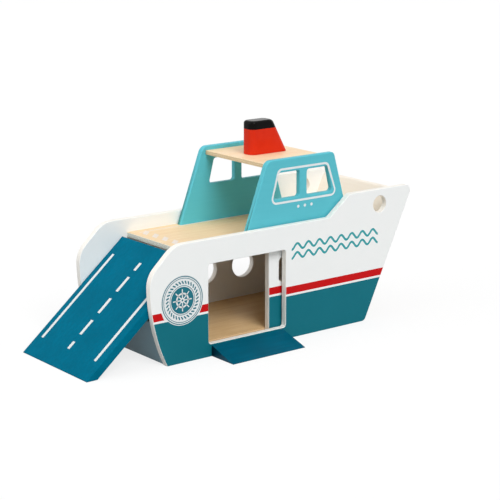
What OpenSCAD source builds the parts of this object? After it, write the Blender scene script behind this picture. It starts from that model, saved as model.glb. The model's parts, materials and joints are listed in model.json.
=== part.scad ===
// Wooden toy car ferry: a plywood hull with a car deck, a hold with a sliding side door,
// a bridge with a funnel, a stern ramp that swings up on two pins, and a loose side wedge.
// Within the modules X runs forward from the stern, Y is 0 on the centre plane with port
// positive, and Z is up from the floor. in_frame() then moves the origin to the middle of
// the underside of the whole set.

/* [Hull sides] */
// Length of the hull to the sharp corner of the bow
hull_length = 330; // [325:1:360]
// Width over the two side panels
hull_w = 128; // [118:1:150]
// Thickness of the side panels
side_t = 6.5; // [6:0.5:9]
// Height of the rail beside the car deck
rail_h = 115; // [113:1:122]
// Height of the bow
bow_h = 136; // [130:1:145]
// Where the flat underside ends and the raked bow begins
bow_foot = 266; // [258:1:270]
// Where the rail ends and the step up to the bow begins
step_foot = 217; // [214:1:222]
// Where the step reaches the height of the bow
step_head = 243.5; // [240:0.5:250]
// Where the sloping stern shoulder meets the rail
shoulder_x = 29; // [20:1:34]
// Height at which the stern shoulder begins
shoulder_z = 88; // [84:1:92]
// Radius of the bulging lower stern
stern_r = 176; // [160:1:200]
// Height at which the lower stern curve begins
stern_curve_top = 78; // [70:1:80]

/* [Hull side corners] */
// Radius of both corners of the stern shoulder
shoulder_r = 25; // [10:1:26]
// Radius at the foot of the bow
bow_foot_r = 5; // [2:0.5:10]
// Radius at the top of the bow
bow_top_r = 6.5; // [3:0.5:10]
// Radius of the two corners of the step
step_r = 5.5; // [3:0.5:8]

/* [Holes in the hull sides] */
// Diameter of the mooring holes at the bow
hawse_d = 17.5; // [12:0.5:19]
// Distance of the mooring holes from the raked bow edge
hawse_inset = 38.8; // [33:0.2:45]
// How far the mooring holes lie below the top of the bow
hawse_drop = 15.6; // [14:0.2:20]
// Diameter of the portholes
porthole_d = 28; // [18:1:34]
// Number of portholes
porthole_count = 3; // [1:1:3]
// Spacing of the portholes
porthole_pitch = 48.4; // [38:0.2:50]
// Place of the row of portholes along the hull
porthole_mid_x = 153.1; // [140:0.5:160]
// Height of the portholes
porthole_z = 45.9; // [40:0.5:60]

/* [Decks] */
// Height of the hold floor's upper face
floor_top = 11; // [10:0.5:13]
// Thickness of the hold floor
floor_t = 8; // [7:0.5:9]
// Height of the car deck's upper face
deck_top = 101.4; // [98:0.2:104]
// Thickness of the car deck
deck_t = 5; // [4.5:0.5:6]
// Where the car deck begins
deck_start = 55.9; // [54:0.5:60]
// Depth of the housings that hold the decks in the side panels
housing = 2.5; // [1.5:0.5:3]

/* [Bow wall and transom] */
// Thickness of the bow wall and the transom
board_t = 6.5; // [5:0.5:8]
// How far the bow wall stands back from the bow edge
bow_setback = 7.8; // [5:0.2:10]
// How far the bow wall's upper edge lies below the top of the bow
bow_wall_drop = 4.4; // [0:0.1:10]
// Radius along the top of the bow wall
bow_wall_r = 2.5; // [1:0.5:3]
// Place of the transom's lower outer edge
transom_foot = 18.2; // [18:0.1:20]
// Height of the transom's lower edge
transom_low = 0.4; // [0.2:0.2:2.8]
// Height of the transom's upper edge
transom_top = 44; // [30:1:45]
// Lean of the transom from upright
transom_lean = 17; // [15:0.5:18]

/* [Bridge] */
// Thickness of the bridge panels
bridge_t = 6.2; // [5:0.1:7]
// Gap between each bridge panel and the hull side
bridge_gap = 2; // [1:0.1:3]
// Aft end of the bridge panels at the deck
bridge_foot_aft = 115.5; // [108:0.1:120]
// Forward end of the bridge panels at the deck
bridge_foot_fore = 251.3; // [246:0.1:255]
// Aft end of the bridge panels at the top
bridge_head_aft = 144.4; // [136:0.1:146]
// Forward end of the bridge panels at the top
bridge_head_fore = 229; // [228.5:0.1:235]
// Height of the bridge panels above the car deck
bridge_h = 77.8; // [74:0.2:88]
// Radius of the aft upper corner
bridge_aft_r = 9; // [4:0.5:12]
// Radius of the forward upper corner
bridge_fore_r = 4.5; // [2:0.5:7]
// Height of the windows
window_h = 25.8; // [20:0.2:27]
// How far the windows' upper edge lies below the panels' upper edge
window_drop = 13.4; // [12.4:0.2:18]
// Radius of the window corners
window_r = 3; // [1:0.5:5]
// Aft window: where its lower and upper edges begin
aft_window_start = [152, 158.7]; // [150:0.1:165]
// Aft window: where its lower and upper edges end
aft_window_end = [184.8, 184.8]; // [178:0.1:186]
// Forward window: where its lower and upper edges begin
fore_window_start = [194.2, 194.2]; // [192:0.1:200]
// Forward window: where its lower and upper edges end
fore_window_end = [227, 220.6]; // [212:0.1:228]
// How far the roof's upper face lies below the panels' upper edge
roof_drop = 4.3; // [3:0.1:5.5]
// Thickness of the roof
roof_t = 4.5; // [4:0.1:5]
// Distance of the roof's aft end from the panels' upper aft corner
roof_aft_margin = 3.6; // [2:0.2:10]
// Distance of the roof's forward end from the panels' upper forward corner
roof_fore_margin = 1; // [0.6:0.2:8]
// Depth of the grooves that hold the roof
roof_groove = 2.5; // [1.5:0.5:4]
// Spare length of the roof grooves at the aft end
groove_spare = 0.6; // [0.2:0.1:1]

/* [Funnel] */
// Distance of the funnel from the roof's aft end
funnel_inset = 16.9; // [8:0.1:24]
// Length of the funnel at its foot
funnel_l = 47.5; // [42:0.5:52]
// Width of the funnel
funnel_w = 17.6; // [14:0.1:26]
// Height of the funnel
funnel_h = 34; // [28:0.5:44]
// Distance of the funnel from the centre plane, towards port
funnel_y = 4.2; // [-20:0.1:20]
// Lean of the funnel's forward face
funnel_lean = 28.5; // [20:0.5:32]
// Radius of the funnel's upright corners
funnel_r = 5; // [2:0.5:7]
// Radius along the funnel's upper ends
funnel_top_r = 3.3; // [2:0.1:6]

/* [Screws] */
// Distance between the funnel's two screws
screw_pitch = 18; // [12:1:20]
// Distance of the bridge panels' screws from the ends of the panels
screw_margin = 20; // [12:1:26]
// Shank diameter of the screws
screw_d = 3; // [2.5:0.5:3]
// Head diameter of the screws
screw_head_d = 6; // [5:0.5:6]
// Length of the screws
screw_l = 16; // [12:1:20]

/* [Stern ramp] */
// Slope of the lowered ramp
ramp_slope = 40; // [38:0.5:42]
// Thickness of the ramp
ramp_t = 8.1; // [7.5:0.1:9]
// How far the ramp's upper edge lies below the deck
ramp_drop = 3.1; // [2.5:0.1:4]
// How far the ramp's upper edge stands off from the deck's end
ramp_standoff = 6; // [4.6:0.1:6]
// Blunt height of the ramp's tip
tip_blunt = 1; // [0.5:0.1:2]
// Gap between the ramp and each side panel
ramp_side_gap = 0.3; // [0.3:0.1:1]
// Diameter of the ramp's pivot pins
pin_d = 4; // [3:0.5:4.5]
// Length of the pivot pins
pin_l = 14; // [12:0.5:20]
// How much of each pivot pin is held in the ramp
pin_grip = 10; // [8:0.5:10]
// Distance of the pivot from the ramp's upper end
pin_inset = 8; // [7.5:0.5:10]
// Radial clearance of the pins in the side panels
pin_clearance = 0.05; // [0.02:0.01:0.1]

/* [Side door] */
// Length of the door opening
opening_l = 94.2; // [80:0.2:98]
// Middle of the door opening
opening_mid_x = 113.7; // [110:0.1:118]
// Height of the opening's sill above the hold floor
opening_sill = 1.4; // [0:0.2:3]
// How far the opening's head lies below the car deck
opening_head = 5.4; // [4.4:0.2:12]
// Radius of the opening's corners
opening_r = 3; // [2:0.5:8]
// Length of the door
door_l = 104.5; // [100:0.5:105]
// Thickness of the door
door_t = 6.4; // [5:0.1:8]
// How far the door lies behind the side panel
door_setback = 1.9; // [1.5:0.1:3]
// How much of the opening the open door still covers
door_show = 14.6; // [12:0.2:18]
// Depth of the door's groove in the hold floor
floor_groove = 3; // [2:0.5:4]
// Depth of the door's groove in the car deck
deck_groove = 2; // [1.5:0.5:2.5]
// Clearance of the door in its grooves
door_gap = 0.3; // [0.2:0.05:0.5]
// Distance of the finger slot from the door's aft edge
slot_inset = 12.7; // [10:0.1:16]
// Width of the finger slot
slot_w = 11; // [9:0.5:20]
// Height of the finger slot
slot_h = 24.5; // [20:0.5:30]
// Distance of the finger slot from the door's upper edge
slot_drop = 16.9; // [12:0.1:40]
// Radius of the finger slot's corners
slot_r = 4.5; // [2:0.5:4.5]

/* [Side wedge] */
// Length of the wedge along the hull
wedge_l = 87.9; // [76:0.1:94]
// Width of the wedge
wedge_w = 33.7; // [28:0.1:40]
// Blunt height of the wedge's outer edge
wedge_blunt = 0.8; // [0.4:0.1:2]
// Gap between the wedge and the hull
wedge_gap = 0.3; // [0.2:0.1:1]

/* [Dowels] */
// Diameter of the dowels
dowel_d = 4; // [3:0.5:4.5]
// How deep a dowel goes into a side panel
dowel_side = 4; // [3:0.5:5]
// How deep a dowel goes into the end grain of a board
dowel_end = 8; // [6:0.5:12]
// Distance of the outermost dowels from the ends of their board
dowel_margin = 14; // [10:0.5:18]

/* [Hidden] */
$fn = 72;

// Through cuts run this far past the faces that they cut
past = 1;

// Inner faces of the side panels, and both faces of the bridge panels
inner_y = hull_w / 2 - side_t;
bridge_outer_y = inner_y - bridge_gap;
bridge_inner_y = bridge_outer_y - bridge_t;

// Where the lower stern curve meets the flat underside
stern_foot = stern_r - sqrt(stern_r ^ 2 - stern_curve_top ^ 2);

// The raked bow, and the two faces of the wall behind it
bow_rake = atan((hull_length - bow_foot) / bow_h);
function bow_x(z) = bow_foot + z * tan(bow_rake);
function wall_outer_x(z) = bow_x(z) - bow_setback;
function wall_inner_x(z) = wall_outer_x(z) - board_t / cos(bow_rake);

// The two faces of the leaning transom
function transom_outer_x(z) = transom_foot - (z - transom_low) * tan(transom_lean);
function transom_inner_x(z) = transom_outer_x(z) + board_t / cos(transom_lean);

// The mooring holes
hawse_z = bow_h - hawse_drop;
hawse_x = bow_x(hawse_z) - hawse_inset;
bow_wall_top = bow_h - bow_wall_drop;

// The deck and the floor between their faces
deck_low = deck_top - deck_t;
floor_low = floor_top - floor_t;

// The bridge, from the deck up
bridge_top = deck_top + bridge_h;
window_high = bridge_top - window_drop;
window_low = window_high - window_h;
roof_top = bridge_top - roof_drop;
roof_low = roof_top - roof_t;
roof_start = bridge_head_aft + roof_aft_margin;
roof_end = bridge_head_fore - roof_fore_margin;
funnel_start = roof_start + funnel_inset;

// The ramp's upper corner, its tip and its pivot
ramp_head = [deck_start - ramp_standoff, deck_top - ramp_drop];
ramp_tip_x = ramp_head.x - (ramp_head.y - tip_blunt) / tan(ramp_slope);
ramp_along = [cos(ramp_slope), sin(ramp_slope)];
ramp_normal = [-sin(ramp_slope), cos(ramp_slope)];
ramp_heel = ramp_head - ramp_normal * ramp_t;
ramp_foot_x = ramp_heel.x - ramp_heel.y / tan(ramp_slope);
pivot = ramp_head - ramp_normal * ramp_t / 2 - ramp_along * pin_inset;
ramp_half_w = inner_y - ramp_side_gap;
pin_reach = pin_l - pin_grip;

// The door opening and the door at rest, which is open
opening_start = opening_mid_x - opening_l / 2;
opening_end = opening_mid_x + opening_l / 2;
opening_low = floor_top + opening_sill;
opening_high = deck_low - opening_head;
door_start = opening_end - door_show;
door_outer_y = -(inner_y - door_setback);
door_low = floor_top - floor_groove + door_gap;
door_high = deck_low + deck_groove - door_gap;
// The grooves end where the shut door laps the opening equally at both ends
groove_start = opening_mid_x - door_l / 2 - door_gap;

// The middle of the underside of the whole set
bow_reach = hull_length - bow_top_r / tan((90 - bow_rake) / 2) + bow_top_r;
mid_x = (ramp_tip_x + bow_reach) / 2;
mid_y = -(wedge_gap + wedge_w) / 2;

function unit(v) = v / norm(v);

// The two tangent points, the centre and the turn of a rounded corner [x, y, radius]
function corner(before, at, after) =
    let (a = unit([before.x - at.x, before.y - at.y]),
        b = unit([after.x - at.x, after.y - at.y]),
        half = acos(a * b) / 2,
        reach = at.z / tan(half))
    [[at.x, at.y] + a * reach,
        [at.x, at.y] + b * reach,
        [at.x, at.y] + unit(a + b) * at.z / sin(half),
        cross(a, b)];

// An outline through [x, y, radius] points, listed anticlockwise, with its corners rounded
module rounded_outline(points) {
    n = len(points);
    corners = [for (i = [0:n - 1]) corner(points[(i + n - 1) % n], points[i], points[(i + 1) % n])];
    difference() {
        union() {
            polygon([for (i = [0:n - 1]) each points[i].z > 0
                ? [corners[i][0], corners[i][1]]
                : [[points[i].x, points[i].y]]]);
            for (i = [0:n - 1])
                if (points[i].z > 0 && corners[i][3] < 0)
                    translate(corners[i][2]) circle(points[i].z);
        }
        for (i = [0:n - 1])
            if (points[i].z > 0 && corners[i][3] > 0)
                translate(corners[i][2]) circle(points[i].z);
    }
}

// Stands a side-view outline upright, filling the space from y_low to y_high
module upright(y_low, y_high) {
    translate([0, y_high, 0])
        rotate([90, 0, 0])
            linear_extrude(y_high - y_low) children();
}

// A round bar across the hull, from y_low to y_high, centred on a side-view point
module cross_bar(at, d, y_low, y_high) {
    translate([at.x, y_high, at.y])
        rotate([90, 0, 0])
            cylinder(d = d, h = y_high - y_low);
}

// Repeats its children on the port side and mirrored on the starboard side
module both_sides() {
    children();
    mirror([0, 1, 0]) children();
}

// Places of the funnel's screws in plan
screw_mid_x = funnel_start + (funnel_l - funnel_h * tan(funnel_lean) / 2) / 2;
funnel_screw_points = [for (side = [-1, 1])
    [screw_mid_x + side * screw_pitch / 2, funnel_y, roof_low]];
// Places of the bridge panels' screws; on starboard their heads lie in the door's groove
bridge_screw_points = [for (side = [-1, 1],
    x = [bridge_foot_aft + screw_margin, bridge_foot_fore - screw_margin])
    [x, side * (bridge_outer_y - bridge_t / 2), deck_low + (side < 0 ? deck_groove : 0)]];
// Height of a screw's countersunk head
head_h = (screw_head_d - screw_d) / 2;

// Countersunk screws, driven upwards, with the flats of their heads at the points
module screws(points) {
    for (at = points)
        translate(at) {
            cylinder(d1 = screw_head_d, d2 = screw_d, h = head_h);
            cylinder(d = screw_d, h = screw_l);
        }
}

module in_frame() {
    translate([-mid_x, -mid_y, 0]) children();
}

// Side view of the hull
module hull_outline() {
    difference() {
        rounded_outline([
            [0, 0, 0],
            [bow_foot, 0, bow_foot_r],
            [hull_length, bow_h, bow_top_r],
            [step_head, bow_h, step_r],
            [step_foot, rail_h, step_r],
            [shoulder_x, rail_h, shoulder_r],
            [0, shoulder_z, shoulder_r]
        ]);
        difference() {
            translate([-past, -past]) square([stern_foot + 2 * past, stern_curve_top + past]);
            translate([stern_r, stern_curve_top]) circle(stern_r, $fn = 360);
        }
    }
}

// Side views of the boards between the side panels
module floor_outline() {
    polygon([
        [transom_inner_x(floor_low), floor_low],
        [wall_inner_x(floor_low), floor_low],
        [wall_inner_x(floor_top), floor_top],
        [transom_inner_x(floor_top), floor_top]
    ]);
}

module deck_outline() {
    polygon([
        [deck_start, deck_low],
        [wall_inner_x(deck_low), deck_low],
        [wall_inner_x(deck_top), deck_top],
        [deck_start, deck_top]
    ]);
}

module transom_outline() {
    polygon([
        [transom_outer_x(transom_low), transom_low],
        [transom_inner_x(transom_low), transom_low],
        [transom_inner_x(transom_top), transom_top],
        [transom_outer_x(transom_top), transom_top]
    ]);
}

module bow_wall_outline() {
    rounded_outline([
        [wall_inner_x(floor_low), floor_low, 0],
        [wall_outer_x(floor_low), floor_low, 0],
        [wall_outer_x(bow_wall_top), bow_wall_top, bow_wall_r],
        [wall_inner_x(bow_wall_top), bow_wall_top, bow_wall_r]
    ]);
}

// Places of the dowels, as side-view points in the middle of each board's thickness
function transom_mid(z) = [(transom_outer_x(z) + transom_inner_x(z)) / 2, z];
function wall_mid(z) = [(wall_outer_x(z) + wall_inner_x(z)) / 2, z];
transom_dowel_points = [for (z = [transom_low + dowel_margin, transom_top - dowel_margin])
    transom_mid(z)];
wall_dowel_low = floor_top + dowel_margin;
wall_dowel_high = bow_wall_top - dowel_margin;
wall_dowel_points = [for (z = [wall_dowel_low, (wall_dowel_low + wall_dowel_high) / 2, wall_dowel_high])
    wall_mid(z)];

// A port side panel without its own side's openings, drilled and housed for the rest
module side_blank() {
    difference() {
        upright(inner_y, inner_y + side_t) hull_outline();
        upright(inner_y - past, inner_y + housing) floor_outline();
        upright(inner_y - past, inner_y + housing) deck_outline();
        cross_bar([hawse_x, hawse_z], hawse_d, inner_y - past, inner_y + side_t + past);
        for (at = concat(transom_dowel_points, wall_dowel_points))
            cross_bar(at, dowel_d, inner_y - past, inner_y + dowel_side);
        cross_bar(pivot, pin_d + 2 * pin_clearance, inner_y - past, inner_y + pin_reach);
    }
}

module starboard_side_panel() {
    color("white")
        in_frame()
            difference() {
                mirror([0, 1, 0]) side_blank();
                upright(-inner_y - side_t - past, -inner_y + past)
                    rounded_outline([
                        [opening_start, opening_low, opening_r],
                        [opening_end, opening_low, opening_r],
                        [opening_end, opening_high, opening_r],
                        [opening_start, opening_high, opening_r]
                    ]);
            }
}

module port_side_panel() {
    first_x = porthole_mid_x - porthole_pitch * (porthole_count - 1) / 2;
    color("white")
        in_frame()
            difference() {
                side_blank();
                for (i = [0:porthole_count - 1])
                    cross_bar([first_x + i * porthole_pitch, porthole_z], porthole_d,
                        inner_y - past, inner_y + side_t + past);
            }
}

// The groove that guides the door, from z_low to z_high
module door_groove(z_low, z_high) {
    translate([groove_start, door_outer_y - door_gap, z_low])
        cube([hull_length, door_t + 2 * door_gap, z_high - z_low]);
}

module hold_floor() {
    color("peru")
        in_frame()
            difference() {
                upright(-inner_y - housing, inner_y + housing) floor_outline();
                door_groove(floor_top - floor_groove, floor_top + past);
            }
}

module upper_deck() {
    color("burlywood")
        in_frame()
            difference() {
                upright(-inner_y - housing, inner_y + housing) deck_outline();
                door_groove(deck_low - past, deck_low + deck_groove);
                screws(bridge_screw_points);
            }
}

// A board across the hull, drilled in both ends for its dowels
module doweled_board(points) {
    difference() {
        upright(-inner_y, inner_y) children();
        both_sides()
            for (at = points)
                cross_bar(at, dowel_d, inner_y - dowel_end, inner_y + past);
    }
}

// The dowels of such a board
module board_dowels(points) {
    both_sides()
        for (at = points)
            cross_bar(at, dowel_d, inner_y - dowel_end, inner_y + dowel_side);
}

module transom() {
    color("white") in_frame() doweled_board(transom_dowel_points) transom_outline();
}

module transom_dowels() {
    color("tan") in_frame() board_dowels(transom_dowel_points);
}

module bow_wall() {
    color("white") in_frame() doweled_board(wall_dowel_points) bow_wall_outline();
}

module bow_wall_dowels() {
    color("tan") in_frame() board_dowels(wall_dowel_points);
}

// A window through both bridge panels
module window_outline(start, end) {
    rounded_outline([
        [start[0], window_low, window_r],
        [end[0], window_low, window_r],
        [end[1], window_high, window_r],
        [start[1], window_high, window_r]
    ]);
}

// The port bridge panel
module bridge_panel() {
    difference() {
        upright(bridge_inner_y, bridge_outer_y)
            difference() {
                rounded_outline([
                    [bridge_foot_aft, deck_top, 0],
                    [bridge_foot_fore, deck_top, 0],
                    [bridge_head_fore, bridge_top, bridge_fore_r],
                    [bridge_head_aft, bridge_top, bridge_aft_r]
                ]);
                window_outline(aft_window_start, aft_window_end);
                window_outline(fore_window_start, fore_window_end);
            }
        translate([roof_start - groove_spare, bridge_inner_y - past, roof_low])
            cube([roof_end - roof_start + groove_spare, past + roof_groove, roof_t]);
    }
}

module port_bridge_panel() {
    color("mediumturquoise")
        in_frame()
            difference() {
                bridge_panel();
                screws(bridge_screw_points);
            }
}

module starboard_bridge_panel() {
    color("mediumturquoise")
        in_frame()
            difference() {
                mirror([0, 1, 0]) bridge_panel();
                screws(bridge_screw_points);
            }
}

module bridge_screws() {
    color("silver") in_frame() screws(bridge_screw_points);
}

module bridge_roof() {
    half_w = bridge_inner_y + roof_groove;
    color("wheat")
        in_frame()
            difference() {
                translate([roof_start, -half_w, roof_low])
                    cube([roof_end - roof_start, 2 * half_w, roof_t]);
                screws(funnel_screw_points);
            }
}

module funnel_screws() {
    color("silver") in_frame() screws(funnel_screw_points);
}

module funnel() {
    low_y = funnel_y - funnel_w / 2;
    funnel_top = roof_top + funnel_h;
    funnel_end = funnel_start + funnel_l;
    color("orangered")
        in_frame()
            difference() {
                intersection() {
                    upright(low_y, low_y + funnel_w)
                        rounded_outline([
                            [funnel_start, roof_top, 0],
                            [funnel_end, roof_top, 0],
                            [funnel_end - funnel_h * tan(funnel_lean), funnel_top, funnel_top_r],
                            [funnel_start, funnel_top, funnel_top_r]
                        ]);
                    translate([0, 0, roof_top])
                        linear_extrude(funnel_h)
                            rounded_outline([
                                [funnel_start, low_y, funnel_r],
                                [funnel_end, low_y, funnel_r],
                                [funnel_end, low_y + funnel_w, funnel_r],
                                [funnel_start, low_y + funnel_w, funnel_r]
                            ]);
                }
                screws(funnel_screw_points);
            }
}

module stern_ramp() {
    color("steelblue")
        in_frame()
            difference() {
                upright(-ramp_half_w, ramp_half_w)
                    polygon([
                        [ramp_tip_x, 0],
                        [ramp_foot_x, 0],
                        ramp_heel,
                        ramp_head,
                        [ramp_tip_x, tip_blunt]
                    ]);
                both_sides()
                    cross_bar(pivot, pin_d, ramp_half_w - pin_grip, ramp_half_w + past);
            }
}

module ramp_pins() {
    color("silver")
        in_frame()
            both_sides()
                cross_bar(pivot, pin_d, ramp_half_w - pin_grip, ramp_half_w + pin_reach);
}

module side_door() {
    slot_start = door_start + slot_inset;
    slot_high = door_high - slot_drop;
    slot_low = slot_high - slot_h;
    color("white")
        in_frame()
            upright(door_outer_y, door_outer_y + door_t)
                difference() {
                    translate([door_start, door_low]) square([door_l, door_high - door_low]);
                    rounded_outline([
                        [slot_start, slot_low, slot_r],
                        [slot_start + slot_w, slot_low, slot_r],
                        [slot_start + slot_w, slot_high, slot_r],
                        [slot_start, slot_high, slot_r]
                    ]);
                }
}

module side_wedge() {
    hull_face = -hull_w / 2 - wedge_gap;
    color("steelblue")
        in_frame()
            translate([opening_mid_x - wedge_l / 2, 0, 0])
                rotate([90, 0, 90])
                    linear_extrude(wedge_l)
                        polygon([
                            [hull_face - wedge_w, 0],
                            [hull_face, 0],
                            [hull_face, floor_top],
                            [hull_face - wedge_w, wedge_blunt]
                        ]);
}

starboard_side_panel();
port_side_panel();
hold_floor();
upper_deck();
transom();
transom_dowels();
bow_wall();
bow_wall_dowels();
starboard_bridge_panel();
port_bridge_panel();
bridge_screws();
bridge_roof();
funnel();
funnel_screws();
stern_ramp();
ramp_pins();
side_door();
side_wedge();
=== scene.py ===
import bpy, bmesh, json, math
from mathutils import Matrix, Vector
from mathutils.geometry import tessellate_polygon

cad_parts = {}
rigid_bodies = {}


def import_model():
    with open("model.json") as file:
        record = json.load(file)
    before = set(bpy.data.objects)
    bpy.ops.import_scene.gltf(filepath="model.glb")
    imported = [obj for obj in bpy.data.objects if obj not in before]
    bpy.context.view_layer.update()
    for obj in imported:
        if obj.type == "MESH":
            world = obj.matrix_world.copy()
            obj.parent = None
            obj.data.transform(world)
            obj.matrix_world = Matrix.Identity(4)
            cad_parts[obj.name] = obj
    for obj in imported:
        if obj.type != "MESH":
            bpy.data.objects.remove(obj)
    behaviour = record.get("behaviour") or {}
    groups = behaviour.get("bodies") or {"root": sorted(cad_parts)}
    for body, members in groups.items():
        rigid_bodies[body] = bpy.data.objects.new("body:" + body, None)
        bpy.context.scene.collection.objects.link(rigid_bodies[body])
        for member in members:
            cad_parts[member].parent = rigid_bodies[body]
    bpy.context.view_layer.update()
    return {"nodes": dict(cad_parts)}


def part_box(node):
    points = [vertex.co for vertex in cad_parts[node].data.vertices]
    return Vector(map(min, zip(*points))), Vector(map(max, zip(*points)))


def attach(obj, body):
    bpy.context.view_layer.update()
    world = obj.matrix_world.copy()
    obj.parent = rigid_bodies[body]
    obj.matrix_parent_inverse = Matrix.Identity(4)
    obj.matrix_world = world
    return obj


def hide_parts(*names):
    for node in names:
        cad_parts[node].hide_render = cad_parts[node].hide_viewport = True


for leftover in list(bpy.data.objects):
    bpy.data.objects.remove(leftover)
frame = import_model()

# The hold floor
# A birch plywood board with a clear matt varnish, housed in both sides of the hull. Its top
# shows the long grain of the veneer, and its ends show the plies one over the other.
# Places on the boat are given in millimetres from its stern, its centre plane and the ground.
floor_underside, floor_ply = 3, 2
stern_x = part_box("port_side_panel")[0].x
centre_y = (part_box("port_side_panel")[1].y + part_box("starboard_side_panel")[0].y) / 2


def at(x, y, z):
    """A place on the boat, in metres in the frame."""
    return Vector((stern_x + x / 1000, centre_y + y / 1000, z / 1000))


def linear(colour):
    """An sRGB hex value as the linear colour that the shaders take."""
    parts = [int(colour[i:i + 2], 16) / 255 for i in (1, 3, 5)]
    return [c / 12.92 if c < 0.04045 else ((c + 0.055) / 1.055) ** 2.4 for c in parts] + [1]


def add(tree, kind, inputs=None, **settings):
    """Adds a node with its settings. An input is either a value or another node's socket."""
    node = tree.nodes.new(kind)
    for name, value in settings.items():
        setattr(node, name, value)
    for socket, value in (inputs or {}).items():
        if isinstance(value, bpy.types.NodeSocket):
            tree.links.new(value, node.inputs[socket])
        else:
            node.inputs[socket].default_value = value
    return node


def finish(name, **uniform):
    """An empty material with its shader, on which the values that are the same all over are set."""
    made = bpy.data.materials.new(name)
    made.use_nodes = True
    tree = made.node_tree
    tree.nodes.clear()
    shader = add(tree, "ShaderNodeBsdfPrincipled")
    for socket, value in uniform.items():
        shader.inputs[socket.replace("_", " ")].default_value = value
    output = add(tree, "ShaderNodeOutputMaterial")
    tree.links.new(shader.outputs[0], output.inputs[0])
    return made, tree, shader


def birch_plywood(name, underside, ply, face_tone="#f3d8ae", grain_tone="#e6c190",
        long_ply="#f0dbb4", end_ply="#d9b687"):
    """Rotary-cut birch: soft long streaks on the face, and on the edges pale long-grain plies between
    darker end-grain ones. The thin varnish is matt, and lets the pores be felt. The plies are counted
    from the board's underside, and both lengths are in millimetres."""
    made, tree, shader = finish(name, IOR=1.5, Roughness=0.5, Coat_Weight=0.12, Coat_Roughness=0.35)
    place = add(tree, "ShaderNodeTexCoord")
    # Streaks are 60 mm long and 1.8 mm apart, and the figure is 160 mm by 16 mm. Pores are drawn
    # 5 mm by 0.5 mm, coarser than real ones, so that they show.
    streak = add(tree, "ShaderNodeTexNoise", {
        "Vector": add(tree, "ShaderNodeMapping", {"Vector": place.outputs["Object"],
            "Scale": (1 / 0.060, 1 / 0.0018, 1 / 0.0018)}).outputs[0],
        "Scale": 1.0, "Detail": 4.0, "Roughness": 0.6, "Distortion": 0.5})
    figure = add(tree, "ShaderNodeTexNoise", {
        "Vector": add(tree, "ShaderNodeMapping", {"Vector": place.outputs["Object"],
            "Scale": (1 / 0.160, 1 / 0.016, 1 / 0.016)}).outputs[0],
        "Scale": 1.0, "Detail": 2.0, "Distortion": 1.6})
    pore = add(tree, "ShaderNodeTexNoise", {
        "Vector": add(tree, "ShaderNodeMapping", {"Vector": place.outputs["Object"],
            "Scale": (1 / 0.005, 1 / 0.0005, 1 / 0.0005)}).outputs[0],
        "Scale": 1.0, "Detail": 1.0})
    toned = add(tree, "ShaderNodeMix", {
        0: add(tree, "ShaderNodeMapRange", {"Value": streak.outputs[0], "From Min": 0.38,
            "From Max": 0.72, "To Max": 0.75}).outputs[0],
        6: linear(face_tone), 7: linear(grain_tone)}, data_type="RGBA")
    figured = add(tree, "ShaderNodeMix", {
        0: add(tree, "ShaderNodeMapRange", {"Value": figure.outputs[0], "From Min": 0.42,
            "From Max": 0.66, "To Max": 0.45}).outputs[0],
        6: toned.outputs[2], 7: linear("#f3d3a2")}, data_type="RGBA")
    pored = add(tree, "ShaderNodeMix", {
        0: add(tree, "ShaderNodeMapRange", {"Value": pore.outputs[0], "From Min": 0.62,
            "From Max": 0.74, "To Max": 0.3}).outputs[0],
        6: figured.outputs[2], 7: linear("#c9995f")}, data_type="RGBA")
    # The plies on the edges, each with a thin dark glue line
    height = add(tree, "ShaderNodeSeparateXYZ", {"Vector": place.outputs["Object"]})
    layer = add(tree, "ShaderNodeMath", {0: add(tree, "ShaderNodeMath",
        {0: height.outputs["Z"], 1: underside / 1000}, operation="SUBTRACT").outputs[0],
        1: 1000 / ply}, operation="MULTIPLY")
    odd = add(tree, "ShaderNodeMath", {0: add(tree, "ShaderNodeMath",
        {0: add(tree, "ShaderNodeMath", {0: layer.outputs[0]}, operation="FLOOR").outputs[0], 1: 2.0},
        operation="FLOORED_MODULO").outputs[0], 1: 0.5}, operation="GREATER_THAN")
    glue = add(tree, "ShaderNodeMath", {0: add(tree, "ShaderNodeMath", {0: layer.outputs[0], 1: 0.5},
        operation="PINGPONG").outputs[0], 1: 0.07}, operation="LESS_THAN")
    speck = add(tree, "ShaderNodeTexNoise", {
        "Vector": add(tree, "ShaderNodeMapping", {"Vector": place.outputs["Object"],
            "Scale": (1 / 0.0012, 1 / 0.0012, 1 / 0.0006)}).outputs[0],
        "Scale": 1.0, "Detail": 2.0})
    end_grain = add(tree, "ShaderNodeMix", {0: speck.outputs[0], 6: linear(end_ply),
        7: linear(long_ply)}, data_type="RGBA")
    plies = add(tree, "ShaderNodeMix", {0: odd.outputs[0], 6: linear(long_ply),
        7: end_grain.outputs[2]}, data_type="RGBA")
    glued = add(tree, "ShaderNodeMix", {0: glue.outputs[0], 6: plies.outputs[2],
        7: linear("#b48a5b")}, data_type="RGBA")
    facing = add(tree, "ShaderNodeSeparateXYZ", {"Vector": place.outputs["Normal"]})
    on_edge = add(tree, "ShaderNodeMath", {0: add(tree, "ShaderNodeMath",
        {0: facing.outputs["Z"]}, operation="ABSOLUTE").outputs[0], 1: 0.6}, operation="LESS_THAN")
    colour = add(tree, "ShaderNodeMix", {0: on_edge.outputs[0], 6: pored.outputs[2],
        7: glued.outputs[2]}, data_type="RGBA")
    tree.links.new(colour.outputs[2], shader.inputs["Base Color"])
    tree.links.new(add(tree, "ShaderNodeMapRange", {"Value": streak.outputs[0], "To Min": 0.44,
        "To Max": 0.62}).outputs[0], shader.inputs["Roughness"])
    relief = add(tree, "ShaderNodeMath", {0: streak.outputs[0], 1: pore.outputs[0]}, operation="ADD")
    tree.links.new(add(tree, "ShaderNodeBump", {"Height": relief.outputs[0], "Strength": 0.25,
        "Distance": 0.00008}).outputs[0], shader.inputs["Normal"])
    return made


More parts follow.
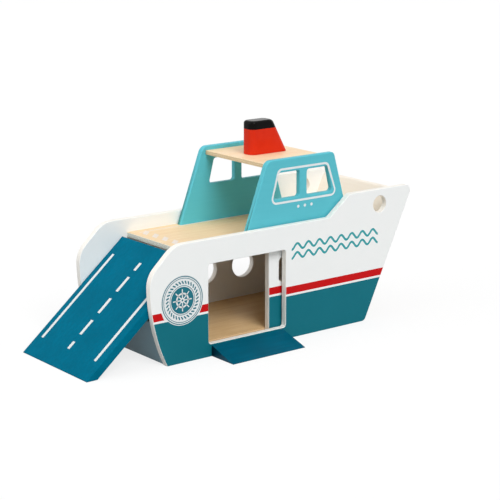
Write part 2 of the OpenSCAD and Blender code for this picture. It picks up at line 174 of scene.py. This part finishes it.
def dress(piece, material):
    """Gives every slot of a CAD node the same material."""
    for slot in piece.material_slots:
        slot.link = "OBJECT"
        slot.material = material


# The hold floor's birch is drawn in deeper tones than the deck's: painted shade of the closed hold.
dress(frame["nodes"]["hold_floor"], birch_plywood("birch plywood of the hold floor, matt varnish",
    floor_underside, floor_ply, "#e8c48f", "#d5aa70"))

# The two sides of the hull
# Plywood sawn to the boat's profile, with every long edge sanded round. Satin lacquer covers the
# faces and edges, and the livery is printed on the flat of the outer faces only: petrol below,
# a white line, a red stripe, and white above.
petrol_top, stripe_low, stripe_high = 43.3, 45.4, 52.8
side_arris = 0.6
# Corners nearer than this, in metres, are one corner, and edges flatter than this are no edges
weld_distance, flat_angle = 2e-6, math.radians(0.4)
sharp_angle = math.radians(35)


def stand_in(name, mesh, material, node, body):
    """Puts a finished mesh in place of a CAD node."""
    mesh.materials.append(material)
    piece = bpy.data.objects.new(name, mesh)
    bpy.context.collection.objects.link(piece)
    flat = piece.modifiers.new("the flats stay flat", "WEIGHTED_NORMAL")
    flat.keep_sharp = True
    flat.weight = 100
    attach(piece, body)
    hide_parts(node)


def eased(node, radius, chosen, material, body="hull"):
    """Stands for a CAD board, with the chosen sharp edges sanded round."""
    mesh = frame["nodes"][node].data.copy()
    work = bmesh.new()
    work.from_mesh(mesh)
    bmesh.ops.remove_doubles(work, verts=work.verts, dist=weld_distance)
    bmesh.ops.dissolve_limit(work, angle_limit=flat_angle, verts=work.verts,
        edges=work.edges, delimit=set())
    for face in work.faces:
        face.smooth = True
    sharp = [e for e in work.edges
        if len(e.link_faces) == 2 and e.calc_face_angle() > sharp_angle]
    soft = [e for e in sharp if chosen(e)]
    for edge in sharp:
        edge.smooth = edge in soft
    bmesh.ops.bevel(work, geom=soft, offset=radius / 1000, offset_type="OFFSET", segments=4,
        profile=0.5, affect="EDGES", clamp_overlap=False, loop_slide=False,
        miter_outer="SHARP", miter_inner="SHARP")
    work.to_mesh(mesh)
    work.free()
    mesh.attributes.remove(mesh.attributes["custom_normal"])
    mesh.materials.clear()
    stand_in(node + "_eased", mesh, material, node, body)


def sawn_through(node):
    """Picks the edges of a board's outline and of the openings sawn right through it, but not the
    foot that it stands on."""
    low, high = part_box(node)
    near = 1e-5
    return lambda edge: max(v.co.z for v in edge.verts) > low.z + near and any(
        max(v.co.y for v in face.verts) - min(v.co.y for v in face.verts) > high.y - low.y - near
        for face in edge.link_faces)


def hull_lacquer():
    """Sprayed acrylic lacquer: an even film with a soft, faintly blotched sheen. The livery stays on
    the flat of the outer face, which looks outboard to within about 20 degrees."""
    made, tree, shader = finish("hull sides: satin lacquer on plywood, printed livery",
        IOR=1.48, Specular_IOR_Level=0.1)
    place = add(tree, "ShaderNodeTexCoord")
    spot = add(tree, "ShaderNodeSeparateXYZ", {"Vector": place.outputs["Object"]})
    facing = add(tree, "ShaderNodeSeparateXYZ", {"Vector": place.outputs["Normal"]})
    outboard = add(tree, "ShaderNodeMath", {0: add(tree, "ShaderNodeMath",
        {0: spot.outputs["Y"], 1: centre_y}, operation="SUBTRACT").outputs[0]}, operation="SIGN")
    outer = add(tree, "ShaderNodeMath", {0: add(tree, "ShaderNodeMath",
        {0: facing.outputs["Y"], 1: outboard.outputs[0]}, operation="MULTIPLY").outputs[0],
        1: 0.93}, operation="GREATER_THAN")
    # The lacquer thins over the sanded edges and the wood warms it there; the warm tint is also a
    # painted reflection of the varnished deck
    edge = add(tree, "ShaderNodeMapRange", {"Value": add(tree, "ShaderNodeMath",
        {0: facing.outputs["Y"]}, operation="ABSOLUTE").outputs[0],
        "From Min": 0.95, "From Max": 0.4, "To Min": 0.0, "To Max": 0.75})
    blotch = add(tree, "ShaderNodeTexNoise", {"Vector": place.outputs["Object"],
        "Scale": 1 / 0.030, "Detail": 3.0})
    white = add(tree, "ShaderNodeMix", {0: blotch.outputs[0], 6: linear("#f6f9f8"),
        7: linear("#fafbfa")}, data_type="RGBA")
    warm = add(tree, "ShaderNodeMix", {0: edge.outputs[0], 6: white.outputs[2],
        7: linear("#f8f3ea")}, data_type="RGBA")
    petrol = add(tree, "ShaderNodeMix", {0: blotch.outputs[0], 6: linear("#0c6d7c"),
        7: linear("#167482")}, data_type="RGBA")
    red = add(tree, "ShaderNodeMix", {0: blotch.outputs[0], 6: linear("#c90d11"),
        7: linear("#d01418")}, data_type="RGBA")
    below = add(tree, "ShaderNodeMath", {0: spot.outputs["Z"], 1: petrol_top / 1000},
        operation="LESS_THAN")
    stripe = add(tree, "ShaderNodeMath", {0: spot.outputs["Z"],
        1: (stripe_low + stripe_high) / 2000, 2: (stripe_high - stripe_low) / 2000},
        operation="COMPARE")
    with_petrol = add(tree, "ShaderNodeMix", {0: add(tree, "ShaderNodeMath",
        {0: below.outputs[0], 1: outer.outputs[0]}, operation="MULTIPLY").outputs[0],
        6: warm.outputs[2], 7: petrol.outputs[2]}, data_type="RGBA")
    with_red = add(tree, "ShaderNodeMix", {0: add(tree, "ShaderNodeMath",
        {0: stripe.outputs[0], 1: outer.outputs[0]}, operation="MULTIPLY").outputs[0],
        6: with_petrol.outputs[2], 7: red.outputs[2]}, data_type="RGBA")
    tree.links.new(with_red.outputs[2], shader.inputs["Base Color"])
    # Orange peel 1.1 mm across, and a grain that shows faintly through the film
    peel = add(tree, "ShaderNodeTexNoise", {"Vector": place.outputs["Object"],
        "Scale": 1 / 0.0011, "Detail": 2.0})
    grain = add(tree, "ShaderNodeTexNoise", {
        "Vector": add(tree, "ShaderNodeMapping", {"Vector": place.outputs["Object"],
            "Scale": (1 / 0.050, 1 / 0.002, 1 / 0.002)}).outputs[0],
        "Scale": 1.0, "Detail": 2.0})
    tree.links.new(add(tree, "ShaderNodeMapRange", {"Value": blotch.outputs[0], "To Min": 0.36,
        "To Max": 0.48}).outputs[0], shader.inputs["Roughness"])
    relief = add(tree, "ShaderNodeMath", {0: peel.outputs[0], 1: grain.outputs[0]}, operation="ADD")
    tree.links.new(add(tree, "ShaderNodeBump", {"Height": relief.outputs[0], "Strength": 0.12,
        "Distance": 0.00005}).outputs[0], shader.inputs["Normal"])
    return made


lacquer = hull_lacquer()
for side in ("starboard_side_panel", "port_side_panel"):
    eased(side, side_arris, sawn_through(side), lacquer)

# The print on the starboard side
# Screen-printed ink on the lacquer: a plain roundel with a ship's wheel in a rope border, on a
# white ground that breaks the stripe, and a double wave below the rail.
outer_y = -64.0
# An ink film is drawn several times as thick as a real one, so that it lies clear of the next.
film, film_root = 0.04, -0.02
gap_low, gap_high = 45.5, 53.0
gap_aft_low, gap_aft_high, gap_fore_low, gap_fore_high = 15.3, 12.0, 55.8, 59.2
roundel_x, roundel_z = 36.2, 61.1
ground_r, disc_r = 24.2, 12.9
rim, rope_rim, disc_rim = (22.5, 23.4), (20.9, 21.5), (13.8, 14.4)
wheel_rim, wheel_hub = (5.7, 7.4), (1.0, 2.5)
rope_strokes, rope_in, rope_out, rope_width, rope_slant = 32, 15.9, 19.4, 1.4, 0.7
wheel_spokes, spoke_in, spoke_out, spoke_width = 8, 2.4, 10.8, 1.1
wave_rows = (83.5, 92.5)
wave_start, wave_end, wave_pitch, wave_height = 168.0, 282.0, 14.25, 2.9
wave_stroke = 2.3


def loop(points, step=math.radians(6)):
    """A fine outline through [u, v, radius] corners."""
    made = []
    for i, (u, v, radius) in enumerate(points):
        here = Vector((u, v))
        before = (Vector(points[i - 1][:2]) - here).normalized()
        after = (Vector(points[(i + 1) % len(points)][:2]) - here).normalized()
        if not radius:
            made.append(here)
            continue
        half = before.angle(after) / 2
        centre = here + (before + after).normalized() * radius / math.sin(half)
        start = here + before * radius / math.tan(half) - centre
        end = here + after * radius / math.tan(half) - centre
        count = max(2, math.ceil(start.angle(end) / step))
        turn = math.atan2(start.x * end.y - start.y * end.x, start.dot(end)) / count
        for n in range(count + 1):
            c, s = math.cos(turn * n), math.sin(turn * n)
            made.append(centre + Vector((start.x * c - start.y * s, start.x * s + start.y * c)))
    return made


def ring(u, v, radius, count=72):
    """A round outline."""
    return [Vector((u + radius * math.cos(math.tau * i / count),
        v + radius * math.sin(math.tau * i / count))) for i in range(count)]


def printed(name, shapes, lay, ink, body="hull", lift=film):
    """One ink film: each shape is an outline and its holes, laid where lay(u, v, height) says."""
    verts, faces = [], []
    for loops in shapes:
        flat = [Vector((*p, 0)) for points in loops for p in points]
        first = len(verts)
        for height in (lift, film_root):
            verts += [lay(p.x, p.y, height) for p in flat]
        faces += [[first + i for i in triangle] for triangle in
            tessellate_polygon([[Vector((*p, 0)) for p in points] for points in loops])]
        start = first
        for points in loops:
            n = len(points)
            faces += [(start + i, start + (i + 1) % n, start + (i + 1) % n + len(flat),
                start + i + len(flat)) for i in range(n)]
            start += n
    mesh = bpy.data.meshes.new(name)
    mesh.from_pydata(verts, [], faces)
    work = bmesh.new()
    work.from_mesh(mesh)
    bmesh.ops.recalc_face_normals(work, faces=work.faces)
    work.to_mesh(mesh)
    work.free()
    mesh.materials.append(ink)
    film_object = bpy.data.objects.new(name, mesh)
    bpy.context.collection.objects.link(film_object)
    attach(film_object, body)


def screen_ink(name, light, dark, roughness=0.42):
    """Printing ink: opaque and even, a little uneven where the screen laid it thinner."""
    made, tree, shader = finish(name, IOR=1.5, Specular_IOR_Level=0.2)
    place = add(tree, "ShaderNodeTexCoord")
    # The mottle of the screen is 0.7 mm across
    mottle = add(tree, "ShaderNodeTexNoise", {"Vector": place.outputs["Object"],
        "Scale": 1 / 0.0007, "Detail": 3.0})
    colour = add(tree, "ShaderNodeMix", {0: mottle.outputs[0], 6: linear(dark), 7: linear(light)},
        data_type="RGBA")
    tree.links.new(colour.outputs[2], shader.inputs["Base Color"])
    tree.links.new(add(tree, "ShaderNodeMapRange", {"Value": mottle.outputs[0],
        "To Min": roughness - 0.05, "To Max": roughness + 0.08}).outputs[0],
        shader.inputs["Roughness"])
    tree.links.new(add(tree, "ShaderNodeBump", {"Height": mottle.outputs[0], "Strength": 0.1,
        "Distance": 0.00002}).outputs[0], shader.inputs["Normal"])
    return made


def on_starboard(u, v, height):
    """A place on the flat of the starboard side."""
    return at(u, outer_y - height, v)


white_ink = screen_ink("white screen ink", "#eef1f1", "#e7ebec")
petrol_ink = screen_ink("petrol screen ink", "#20788a", "#186c7b")
teal_ink = screen_ink("teal screen ink", "#34a5ab", "#2b9aa0")


def band(radius_in, radius_out):
    """A ring-shaped line on the roundel."""
    return [ring(roundel_x, roundel_z, radius_out), ring(roundel_x, roundel_z, radius_in)]


def round_bar(radius_from, radius_to, width, angle, slant=0.0):
    """A short bar on the roundel, from one radius to another, turned by slant."""
    along = Vector((math.cos(angle), math.sin(angle)))
    lean = Vector((math.cos(angle + slant), math.sin(angle + slant)))
    across = Vector((-lean.y, lean.x)) * width / 2
    start = Vector((roundel_x, roundel_z)) + along * radius_from
    end = start + lean * (radius_to - radius_from)
    return loop([(*(start - across), width * 0.3), (*(end - across), width * 0.3),
        (*(end + across), width * 0.3), (*(start + across), width * 0.3)])


rope_angles = [math.tau * (i + 0.5) / rope_strokes for i in range(rope_strokes)]
spoke_angles = [math.tau * i / wheel_spokes for i in range(wheel_spokes)]
printed("stripe_gap", [[loop([(gap_aft_high, gap_high, 0), (gap_aft_low, gap_low, 0),
    (gap_fore_low, gap_low, 0), (gap_fore_high, gap_high, 0)])]], on_starboard, white_ink)
printed("roundel_ground", [[ring(roundel_x, roundel_z, ground_r)]], on_starboard, white_ink,
    lift=2 * film)
printed("roundel", [
    band(*rim), band(*rope_rim),
    *[[round_bar(rope_in, rope_out, rope_width, angle, rope_slant)] for angle in rope_angles],
    band(*disc_rim), [ring(roundel_x, roundel_z, disc_r)]],
    on_starboard, petrol_ink, lift=3 * film)
printed("roundel_wheel", [
    band(*wheel_rim), band(*wheel_hub),
    *[[round_bar(spoke_in, spoke_out, spoke_width, angle)] for angle in spoke_angles]],
    on_starboard, white_ink, lift=4 * film)


def wave(z):
    """A waving line of even width, with 16 steps to each wave."""
    count = 16 * round((wave_end - wave_start) / wave_pitch)
    upper, lower = [], []
    for i in range(count + 1):
        u = wave_start + (wave_end - wave_start) * i / count
        phase = math.tau * (u - wave_start) / wave_pitch
        middle = Vector((u, z - wave_height * math.cos(phase)))
        along = Vector((1, wave_height * math.sin(phase) * math.tau / wave_pitch)).normalized()
        side = Vector((-along.y, along.x)) * wave_stroke / 2
        upper.append(middle + side)
        lower.append(middle - side)
    return [lower + upper[::-1]]


printed("double_wave", [wave(z) for z in wave_rows], on_starboard, teal_ink)

# The transom, the bow wall and their dowels
# Two boards across the hull, glued and doweled between the sides. The beech dowels are hidden once
# the sides are on. Satin paint is brushed thin enough that the grain shows. On the transom it is
# darkened to a blue-grey that is painted shade under the ramp and painted reflection of the ramp's
# petrol underside. The bow wall's white is drawn warmer and brighter, as painted reflection of the
# deck and painted light in the shaded bow well.
board_arris = 0.8
long_edge = 0.050


def board_paint(name, tone, shade):
    """Brushed satin paint: the grain 2 mm apart and 60 mm long tints it and is just felt."""
    made, tree, shader = finish(name, IOR=1.48)
    place = add(tree, "ShaderNodeTexCoord")
    grain = add(tree, "ShaderNodeTexNoise", {
        "Vector": add(tree, "ShaderNodeMapping", {"Vector": place.outputs["Object"],
            "Scale": (1 / 0.002, 1 / 0.060, 1 / 0.002)}).outputs[0],
        "Scale": 1.0, "Detail": 4.0, "Roughness": 0.55})
    colour = add(tree, "ShaderNodeMix", {0: grain.outputs[0], 6: linear(shade), 7: linear(tone)},
        data_type="RGBA")
    tree.links.new(colour.outputs[2], shader.inputs["Base Color"])
    tree.links.new(add(tree, "ShaderNodeMapRange", {"Value": grain.outputs[0], "To Min": 0.4,
        "To Max": 0.54}).outputs[0], shader.inputs["Roughness"])
    tree.links.new(add(tree, "ShaderNodeBump", {"Height": grain.outputs[0], "Strength": 0.2,
        "Distance": 0.00006}).outputs[0], shader.inputs["Normal"])
    return made


def plain_beech():
    """Bare beech turned to dowel: pink-brown with short dark flecks along the grain."""
    made, tree, shader = finish("beech dowel", IOR=1.5)
    place = add(tree, "ShaderNodeTexCoord")
    fleck = add(tree, "ShaderNodeTexNoise", {
        "Vector": add(tree, "ShaderNodeMapping", {"Vector": place.outputs["Object"],
            "Scale": (1 / 0.0006, 1 / 0.004, 1 / 0.0006)}).outputs[0],
        "Scale": 1.0, "Detail": 3.0})
    colour = add(tree, "ShaderNodeMix", {0: fleck.outputs[0], 6: linear("#b98a60"),
        7: linear("#dcb58b")}, data_type="RGBA")
    tree.links.new(colour.outputs[2], shader.inputs["Base Color"])
    tree.links.new(add(tree, "ShaderNodeMapRange", {"Value": fleck.outputs[0], "To Min": 0.55,
        "To Max": 0.75}).outputs[0], shader.inputs["Roughness"])
    return made


def along_y(edge):
    """Picks the long edges of a board that lies across the hull."""
    a, b = (v.co for v in edge.verts)
    return abs(a.y - b.y) > long_edge


# The transom's blue-grey is painted shade under the ramp, with a painted reflection of its petrol
# underside.
eased("transom", board_arris, along_y,
    board_paint("transom: satin paint darkened to blue-grey as painted shade", "#7599a5", "#6c909c"))
# The bow wall's paint is drawn warmer and brighter than the hull's white: painted reflection of the
# deck and painted light in the shaded bow well.
dress(frame["nodes"]["bow_wall"], board_paint("bow wall: satin white paint", "#fcf4e8", "#f7ede0"))
beech = plain_beech()
for node in ("transom_dowels", "bow_wall_dowels"):
    dress(frame["nodes"][node], beech)

# The car deck
# Five plies of birch, 5 mm thick, varnished. A pale ink marks the parking lane: a line along each
# side and a row of slanting blocks across the stern end.
deck_start, deck_underside, deck_top, deck_ply = 55.9, 96.4, 101.4, 1
deck_arris = 0.5
lane_y, lane_start, lane_end, lane_line = 48.0, 64.6, 240.0, 1.7
block_start, block_end, block_width, block_shear, block_pitch = 64.0, 74.0, 7.6, 9.6, 16.6
middle_block = 1.3
print_corner = 0.3


def at_stern_end(edge):
    """Picks the edges round the deck's stern end."""
    return all(v.co.x < at(deck_start + 0.1, 0, 0).x for v in edge.verts)


# The deck's edge plies are drawn paler and greener than bare birch: painted light on the aft edge and
# painted reflection of the petrol ramp.
eased("upper_deck", deck_arris, at_stern_end,
    birch_plywood("birch plywood of the car deck, matt varnish", deck_underside, deck_ply,
        long_ply="#fbfcf0", end_ply="#e3e6d3"))
pale_ink = screen_ink("pale screen ink", "#efe4dc", "#e8dad0", 0.5)


def on_deck(u, v, height):
    """A place on the top of the car deck."""
    return at(u, v, deck_top + height)


def bar(u0, u1, v, width, end_radius=0.2):
    """A straight printed line from u0 to u1, with v at its middle."""
    return [loop([(u0, v - width / 2, end_radius), (u1, v - width / 2, end_radius),
        (u1, v + width / 2, end_radius), (u0, v + width / 2, end_radius)])]


def block(n):
    """The slanting block that lies n blocks to port of the middle one."""
    v = middle_block + n * block_pitch
    return [loop([(block_start, v, print_corner), (block_end, v + block_shear, print_corner),
        (block_end, v + block_shear + block_width, print_corner),
        (block_start, v + block_width, print_corner)])]


printed("lane_lines", [bar(lane_start, lane_end, s * lane_y, lane_line) for s in (-1, 1)], on_deck,
    pale_ink)
printed("stern_blocks", [block(n) for n in range(-2, 3)], on_deck, pale_ink,
    lift=2 * film)

# The bridge
# Two sawn panels stand on the deck just inside the hull's sides, each held by two countersunk
# screws from below. Satin turquoise lacquer, with a white line round the windows and three dots.
bridge_outer_y = 55.5
bridge_arris = 1.3
line_width, line_corner = 2.1, 5
line_low, line_high = 136.1, 169.1
line_aft_low, line_aft_high, line_fore_low, line_fore_high = 148.8, 158.3, 232.3, 220.2
dots_x, dots_z, dot_r = (183.0, 191.5, 199.9), 130.0, 1.5


def colour_lacquer(name, tone, shade, grain_size, roughness=0.4, shine=0.15):
    """Satin lacquer over a sanded board, under which the grain still shows faintly. The grain's size
    along X, Y and Z is in millimetres."""
    made, tree, shader = finish(name, IOR=1.48, Specular_IOR_Level=shine)
    place = add(tree, "ShaderNodeTexCoord")
    grain = add(tree, "ShaderNodeTexNoise", {
        "Vector": add(tree, "ShaderNodeMapping", {"Vector": place.outputs["Object"],
            "Scale": [1000 / g for g in grain_size]}).outputs[0],
        "Scale": 1.0, "Detail": 4.0, "Roughness": 0.55})
    blotch = add(tree, "ShaderNodeTexNoise", {"Vector": place.outputs["Object"],
        "Scale": 1 / 0.035, "Detail": 2.0})
    mixed = add(tree, "ShaderNodeMath", {0: grain.outputs[0], 1: blotch.outputs[0]},
        operation="MULTIPLY")
    colour = add(tree, "ShaderNodeMix", {0: add(tree, "ShaderNodeMapRange",
        {"Value": mixed.outputs[0], "From Min": 0.12, "From Max": 0.38}).outputs[0],
        6: linear(shade), 7: linear(tone)}, data_type="RGBA")
    tree.links.new(colour.outputs[2], shader.inputs["Base Color"])
    tree.links.new(add(tree, "ShaderNodeMapRange", {"Value": mixed.outputs[0],
        "To Min": roughness - 0.04, "To Max": roughness + 0.14}).outputs[0],
        shader.inputs["Roughness"])
    tree.links.new(add(tree, "ShaderNodeBump", {"Height": grain.outputs[0], "Strength": 0.15,
        "Distance": 0.00006}).outputs[0], shader.inputs["Normal"])
    return made


def zinc_plate():
    """Bright zinc on steel, with drawing marks along it. They are drawn 0.4 mm apart, coarser than
    real ones, so that they show."""
    made, tree, shader = finish("zinc-plated steel", Metallic=1.0)
    place = add(tree, "ShaderNodeTexCoord")
    draw = add(tree, "ShaderNodeTexNoise", {
        "Vector": add(tree, "ShaderNodeMapping", {"Vector": place.outputs["Object"],
            "Scale": (1 / 0.0004, 1 / 0.0004, 1 / 0.006)}).outputs[0],
        "Scale": 1.0, "Detail": 3.0})
    colour = add(tree, "ShaderNodeMix", {0: draw.outputs[0], 6: linear("#a5a8aa"),
        7: linear("#c9cccd")}, data_type="RGBA")
    tree.links.new(colour.outputs[2], shader.inputs["Base Color"])
    tree.links.new(add(tree, "ShaderNodeMapRange", {"Value": draw.outputs[0], "To Min": 0.22,
        "To Max": 0.42}).outputs[0], shader.inputs["Roughness"])
    return made


turquoise = colour_lacquer("bridge: satin turquoise lacquer", "#60c3d1", "#5cc0ce", (60, 3, 3))
for side in ("starboard_bridge_panel", "port_bridge_panel"):
    eased(side, bridge_arris, sawn_through(side), turquoise)
steel = zinc_plate()
dress(frame["nodes"]["bridge_screws"], steel)


def frame_line(grow):
    """The rounded line round both windows, grown or shrunk from its middle. The sharper lower corners
    go a little further, so that the line keeps its width."""
    low, high, corner = line_low - grow, line_high + grow, line_corner + grow
    return loop([(line_aft_low - grow * 1.15, low, corner), (line_fore_low + grow * 1.15, low, corner),
        (line_fore_high + grow, high, corner), (line_aft_high - grow, high, corner)])


for side, s in (("starboard", -1), ("port", 1)):
    printed(side + "_window_line", [[frame_line(line_width / 2), frame_line(-line_width / 2)],
        *[[ring(x, dots_z, dot_r, 32)] for x in dots_x]],
        lambda u, v, height, s=s: at(u, s * (bridge_outer_y + height), v), white_ink)

# The bridge roof
# A varnished birch plywood board pushed into a groove in each bridge panel. Its front and back
# edges are bare and show the plies.
roof_underside, roof_ply = 170.4, 0.9
roof_arris = 0.7
# The roof's birch is drawn paler than the deck's: painted light on the top, which gets the full top
# light.
eased("bridge_roof", roof_arris, along_y,
    birch_plywood("birch plywood of the roof, matt varnish", roof_underside, roof_ply, "#fbe4c0",
        "#efcfa0"))

# The funnel
# A solid beech block with all its edges rounded, dipped in gloss red enamel and topped in black.
# Two countersunk screws hold it from under the roof.
black_from = 200.6
funnel_lean = math.radians(28.5)
# Radii of the upright edges, the top edge and the foot, in metres
corner_r, top_r, foot_r = 0.0065, 0.003, 0.0008


def gloss_enamel():
    """Dipped enamel: smooth and shiny, with slow sags where it ran as it dried."""
    made, tree, shader = finish("funnel: gloss enamel, red with a black top", IOR=1.5,
        Specular_IOR_Level=0.08)
    place = add(tree, "ShaderNodeTexCoord")
    spot = add(tree, "ShaderNodeSeparateXYZ", {"Vector": place.outputs["Object"]})
    # The brushed edge of the black wanders by a fraction of a millimetre
    wander = add(tree, "ShaderNodeTexNoise", {"Vector": place.outputs["Object"],
        "Scale": 1 / 0.008, "Detail": 2.0})
    edge = add(tree, "ShaderNodeMath", {0: wander.outputs[0], 1: 0.0006,
        2: black_from / 1000 - 0.0003}, operation="MULTIPLY_ADD")
    black = add(tree, "ShaderNodeMath", {0: spot.outputs["Z"], 1: edge.outputs[0]},
        operation="GREATER_THAN")
    red = add(tree, "ShaderNodeMix", {0: wander.outputs[0], 6: linear("#d42a10"),
        7: linear("#dd3216")}, data_type="RGBA")
    colour = add(tree, "ShaderNodeMix", {0: black.outputs[0], 6: red.outputs[2],
        7: linear("#070707")}, data_type="RGBA")
    tree.links.new(colour.outputs[2], shader.inputs["Base Color"])
    sag = add(tree, "ShaderNodeTexNoise", {"Vector": place.outputs["Object"],
        "Scale": 1 / 0.004, "Detail": 1.0})
    tree.links.new(add(tree, "ShaderNodeMapRange", {"Value": sag.outputs[0], "To Min": 0.12,
        "To Max": 0.2}).outputs[0], shader.inputs["Roughness"])
    tree.links.new(add(tree, "ShaderNodeBump", {"Height": sag.outputs[0], "Strength": 0.15,
        "Distance": 0.0001}).outputs[0], shader.inputs["Normal"])
    return made


def rounded_funnel():
    """Rounded outlines one over the other, drawn in at the foot and the top. The front leans aft."""
    low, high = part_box("funnel")
    quarter = [math.radians(15 * i) for i in range(7)]
    levels = [(low.z + foot_r * (1 - math.cos(a)), foot_r * (1 - math.sin(a))) for a in quarter]
    levels += [(high.z - top_r * (1 - math.sin(a)), top_r * (1 - math.cos(a))) for a in quarter]
    verts = []
    for z, inset in levels:
        fore = high.x - (z - low.z) * math.tan(funnel_lean) - inset
        radius = corner_r - inset
        outline = loop([(low.x + inset, low.y + inset, radius), (fore, low.y + inset, radius),
            (fore, high.y - inset, radius), (low.x + inset, high.y - inset, radius)],
            math.radians(8.5))
        verts += [(*point, z) for point in outline]
    n = len(outline)
    faces = [(n * k + i, n * k + (i + 1) % n, n * (k + 1) + (i + 1) % n, n * (k + 1) + i)
        for k in range(len(levels) - 1) for i in range(n)]
    faces += [tuple(reversed(range(n))), tuple(range(len(verts) - n, len(verts)))]
    mesh = bpy.data.meshes.new("funnel_block")
    mesh.from_pydata(verts, [], faces)
    mesh.shade_smooth()
    return mesh


stand_in("funnel_block", rounded_funnel(), gloss_enamel(), "funnel", "hull")
dress(frame["nodes"]["funnel_screws"], steel)

# The stern ramp and its pins
# One solid board, petrol lacquer with eased edges, hung on two steel pins between the sides. A road
# is printed on it in white: a line along each edge and five dashes down the middle.
ramp_arris = 0.9
ramp_slope = math.radians(40)
road_tip_x, road_tip_z = -67.2, 0.04
road_start, road_end = 22.4, 130.9
road_edges, edge_width = (47.6, -46.2), 3.6
road_dashes = [(22.8, 31.7), (40.6, 58.4), (67.5, 85.9), (94.9, 113.3), (121.8, 131.3)]
dash_middle, dash_width = 0.5, 3.8
ramp_petrol = colour_lacquer("ramp: satin petrol lacquer on solid wood", "#006e8b", "#006580",
    (50, 3, 3), shine=0.015)


def on_ramp(u, v, height):
    """A place on the lowered ramp's upper face, u up the slope from its tip."""
    return at(road_tip_x + u * math.cos(ramp_slope) - height * math.sin(ramp_slope), v,
        road_tip_z + u * math.sin(ramp_slope) + height * math.cos(ramp_slope))


def upper_edge(edge):
    """Picks the ramp's upper arrises, down both sides and across the top end, but not its thin tip."""
    middle = (edge.verts[0].co + edge.verts[1].co) / 2
    rise = (middle - on_ramp(0, 0, 0)).dot(on_ramp(0, 0, 1000) - on_ramp(0, 0, 0))
    return edge.calc_length() > long_edge and rise > -0.0005 and middle.z > 0.01


eased("stern_ramp", ramp_arris, upper_edge, ramp_petrol, "ramp")
dress(frame["nodes"]["ramp_pins"], steel)
printed("road_lines", [bar(road_start, road_end, v, edge_width) for v in road_edges]
    + [bar(*dash, dash_middle, dash_width) for dash in road_dashes],
    on_ramp, screen_ink("road screen ink", "#e6e8e7", "#dfe1e0"), "ramp")

# The sliding side door
# A thin sawn panel with a finger slot, running in grooves in the floor and the deck. It wears the
# hull's own lacquer and livery, so that the stripes run on when it is shut.
door_arris = 0.6
eased("side_door", door_arris, sawn_through("side_door"), lacquer, "door")

# The side wedge
# A loose block that bridges the step from the ground up to the hold floor. The ramp's petrol
# lacquer, drawn a shade deeper: painted shade for the wedge's low place against the hull. Edges just
# broken with sandpaper.
wedge_arris, wedge_long_edge = 0.5, 0.02
eased("side_wedge", wedge_arris, lambda edge: edge.calc_length() > wedge_long_edge,
    colour_lacquer("wedge: satin petrol lacquer on solid wood", "#005d76", "#00546b", (40, 3, 3),
        shine=0.05), "wedge")

# The studio
# A pale paper sweep, a broad soft lamp high to starboard, a wide one above, a wide one on the port
# quarter, and an even pale sky. The paper is seen as white, and keeps a share of the shadow.
sky_strength = 0.35
paper_tone, shadow_share, paper_reach = "#bcbcbc", 0.22, 15


def seen_plainly(tree):
    """1 for what the camera sees, be it straight, mirrored or through something clear; else 0."""
    path = add(tree, "ShaderNodeLightPath")
    return add(tree, "ShaderNodeMath", {0: path.outputs["Is Camera Ray"],
        1: add(tree, "ShaderNodeMath", {0: path.outputs["Is Glossy Ray"],
            1: path.outputs["Is Transmission Ray"]}, operation="MAXIMUM").outputs[0]},
        operation="MAXIMUM").outputs[0]


paper, tree, shader = finish("white paper sweep", Roughness=0.9)
place = add(tree, "ShaderNodeTexCoord")
fibre = add(tree, "ShaderNodeTexNoise", {"Vector": place.outputs["Object"], "Scale": 1 / 0.002,
    "Detail": 3.0})
tree.links.new(add(tree, "ShaderNodeMapRange", {"Value": fibre.outputs[0], "To Min": 0.85,
    "To Max": 0.95}).outputs[0], shader.inputs["Roughness"])
shader.inputs["Base Color"].default_value = linear(paper_tone)
lit = add(tree, "ShaderNodeBsdfDiffuse", {"Color": (1, 1, 1, 1)})
glow = add(tree, "ShaderNodeEmission", {"Color": (1, 1, 1, 1), "Strength": 1.0})
seen = add(tree, "ShaderNodeMixShader", {0: shadow_share, 1: glow.outputs[0], 2: lit.outputs[0]})
sweep = add(tree, "ShaderNodeMixShader", {0: seen_plainly(tree), 1: shader.outputs[0],
    2: seen.outputs[0]})
output = next(n for n in tree.nodes if n.type == "OUTPUT_MATERIAL")
tree.links.new(sweep.outputs[0], output.inputs[0])
floor_mesh = bpy.data.meshes.new("floor")
floor_mesh.from_pydata([(x * paper_reach, y * paper_reach, 0) for x, y in
    ((-1, -1), (1, -1), (1, 1), (-1, 1))], [], [(0, 1, 2, 3)])
floor_mesh.materials.append(paper)
floor = bpy.data.objects.new("floor", floor_mesh)
bpy.context.collection.objects.link(floor)

sky = bpy.data.worlds.new("studio")
sky.use_nodes = True
bpy.context.scene.world = sky
tree = sky.node_tree
tree.nodes.clear()
brightness = add(tree, "ShaderNodeMapRange", {"Value": seen_plainly(tree), "To Min": sky_strength,
    "To Max": 1.0})
background = add(tree, "ShaderNodeBackground", {"Color": (1, 1, 1, 1),
    "Strength": brightness.outputs[0]})
add(tree, "ShaderNodeOutputWorld", {0: background.outputs[0]})

# Each lamp's strength, its width in degrees, and the way its light goes
lamps = [("front", 1.87, 34, (0.12, 0.7, -0.71)), ("top", 0.6, 60, (0.25, -0.1, -1)),
    ("quarter", 0.75, 60, (0.896, -0.314, -0.314))]
for name, strength, spread, towards in lamps:
    lamp = bpy.data.objects.new(name, bpy.data.lights.new(name, "SUN"))
    lamp.data.energy = strength
    lamp.data.angle = math.radians(spread)
    lamp.rotation_euler = Vector(towards).to_track_quat("-Z", "Y").to_euler()
    bpy.context.collection.objects.link(lamp)

camera = bpy.data.objects.new("camera", bpy.data.cameras.new("camera"))
camera.location = (-0.8969, -1.1784, 0.4491)
camera.rotation_euler = (math.radians(76.23), 0, math.radians(-37.97))
camera.data.lens = 111.1
camera.data.sensor_width = 36
bpy.context.collection.objects.link(camera)
bpy.context.scene.camera = camera
bpy.context.scene.view_settings.view_transform = "Standard"
